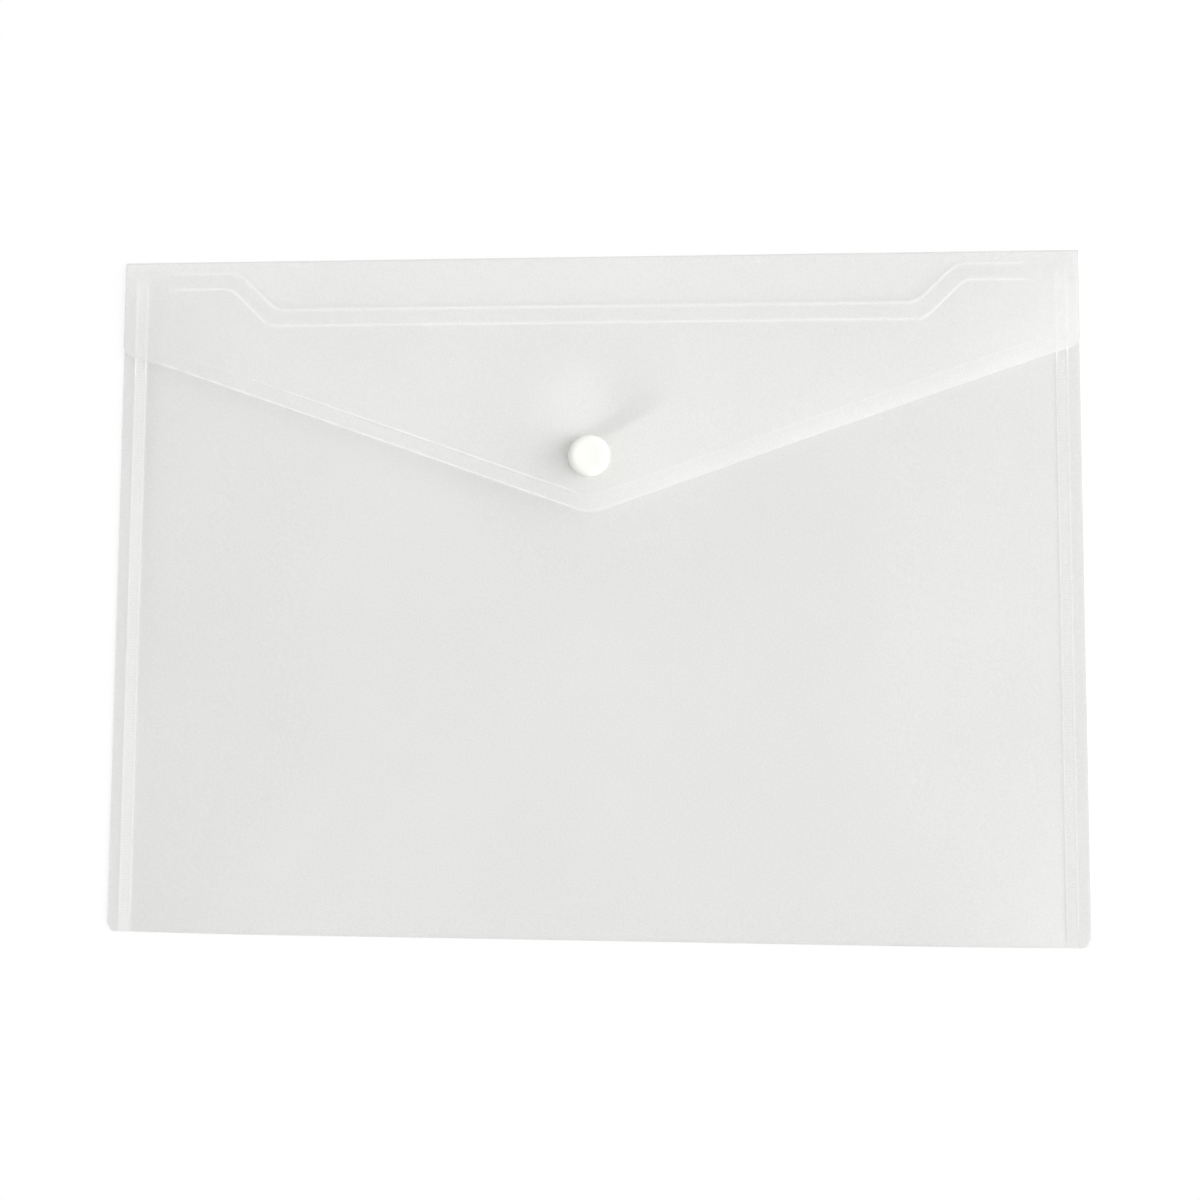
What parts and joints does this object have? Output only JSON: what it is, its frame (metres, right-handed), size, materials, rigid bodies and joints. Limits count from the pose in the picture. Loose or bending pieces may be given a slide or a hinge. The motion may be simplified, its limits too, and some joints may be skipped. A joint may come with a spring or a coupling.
{
  "type": "document wallet",
  "caption": "Translucent frosted plastic document wallet with a pointed flap on a crease hinge, welded sides and a press stud, sized for A4 papers.",
  "frame": {"origin": "middle of the wallet's footprint, on the table under the back panel", "axes": "+X along the wallet's width, +Y up to the flap crease, +Z out of the front panel"},
  "size_m": [0.33, 0.233, 0.0099],
  "materials": {
    "frosted_sheet": "frosted translucent film with a fine matt grain",
    "snap_plastic": "glossy white moulding"
  },
  "bodies": {
    "pocket": {"back_panel": "frosted_sheet", "bottom_fold": "frosted_sheet", "front_panel": "frosted_sheet", "left_side_weld": "frosted_sheet", "right_side_weld": "frosted_sheet", "flap_crease": "frosted_sheet", "snap_stud": "snap_plastic", "stud_backing_cap": "snap_plastic"},
    "flap": {"flap_panel": "frosted_sheet", "snap_cap": "snap_plastic", "snap_socket": "snap_plastic"}
  },
  "joints": [
    {"name": "flap_hinge", "type": "hinge", "parent": "pocket", "child": "flap", "pos_m": [0, 0.11605, 0.00045], "axis": [-1, 0, 0], "range_deg": [0, 162], "deforming": ["flap_crease"]}
  ]
}
